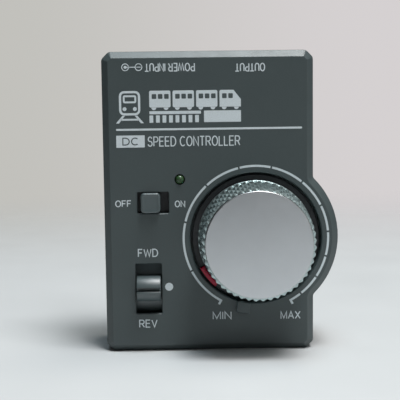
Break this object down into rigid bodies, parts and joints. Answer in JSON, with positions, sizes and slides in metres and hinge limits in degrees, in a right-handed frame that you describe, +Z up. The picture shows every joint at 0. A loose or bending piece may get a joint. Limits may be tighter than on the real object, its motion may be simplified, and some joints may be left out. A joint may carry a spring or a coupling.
{
  "type": "train set controller",
  "caption": "Hand-held model train controller: flat plastic case with a round side bulge, large knurled speed knob, on/off and direction slide switches, lamp, power inlet and track output.",
  "frame": {"origin": "centre of the case's flat bottom end, which it stands on", "axes": "+Z up along the case to the connector end, -Y out of the front panel towards the user, +X to the right seen from the front"},
  "size_m": [0.0784, 0.0454, 0.1005],
  "materials": {
    "case": "fine moulded grey plastic",
    "cap": "smooth grey plastic",
    "black_plastic": "dark moulded plastic",
    "knob_chrome": "bright diamond knurl",
    "knob_disc": "satin disc",
    "pointer": "red plastic",
    "lamp": "dark green clear lens, unlit",
    "steel": "plated",
    "brass": "contact metal",
    "rubber": "matt",
    "label": "blank film",
    "board": "solder-masked laminate",
    "aluminium": "extruded",
    "capacitor": "shrink sleeve",
    "fuse": "resin coat"
  },
  "bodies": {
    "case": {"front_case": "case", "rear_cover": "case", "pot_body": "black_plastic", "dc_jack_body": "black_plastic", "output_socket_housing": "black_plastic", "power_transistor": "black_plastic", "control_chip": "black_plastic", "protection_diode": "black_plastic", "lamp_lens": "lamp", "case_screw_1": "steel", "case_screw_2": "steel", "case_screw_3": "steel", "case_screw_4": "steel", "board_screw_1": "steel", "board_screw_2": "steel", "board_screw_3": "steel", "pot_bushing": "steel", "pot_washer": "steel", "pot_nut": "steel", "pot_terminal_1": "steel", "pot_terminal_2": "steel", "pot_terminal_3": "steel", "power_switch_frame": "steel", "direction_switch_frame": "steel", "lamp_lead_1": "steel", "lamp_lead_2": "steel", "dc_jack_pin": "steel", "power_switch_pin_1": "brass", "power_switch_pin_2": "brass", "power_switch_pin_3": "brass", "direction_switch_pin_1": "brass", "direction_switch_pin_2": "brass", "direction_switch_pin_3": "brass", "direction_switch_pin_4": "brass", "direction_switch_pin_5": "brass", "direction_switch_pin_6": "brass", "output_pin_1": "brass", "output_pin_2": "brass", "foot_1": "rubber", "foot_2": "rubber", "foot_3": "rubber", "foot_4": "rubber", "rating_label": "label", "main_board": "board", "heat_sink": "aluminium", "filter_capacitor": "capacitor", "resettable_fuse": "fuse"},
    "speed_knob": {"knob_core": "black_plastic", "knob_sleeve": "knob_chrome", "knob_disc": "knob_disc", "knob_pointer": "pointer", "pot_shaft": "steel", "pot_wiper": "brass"},
    "power_switch": {"power_switch_cap": "cap", "power_switch_slider": "black_plastic"},
    "direction_switch": {"direction_switch_cap": "cap", "direction_switch_slider": "black_plastic"}
  },
  "joints": [
    {"name": "speed_knob_turn", "type": "hinge", "parent": "case", "child": "speed_knob", "pos_m": [0.0156, -0.014, 0.0382], "axis": [0, 1, 0], "range_deg": [-22.5, 280.5]},
    {"name": "power_switch_slide", "type": "slide", "parent": "case", "child": "power_switch", "axis": [1, 0, 0], "range_m": [0, 0.002]},
    {"name": "direction_switch_slide", "type": "slide", "parent": "case", "child": "direction_switch", "axis": [0, 0, 1], "range_m": [-0.003, 0.003]}
  ]
}
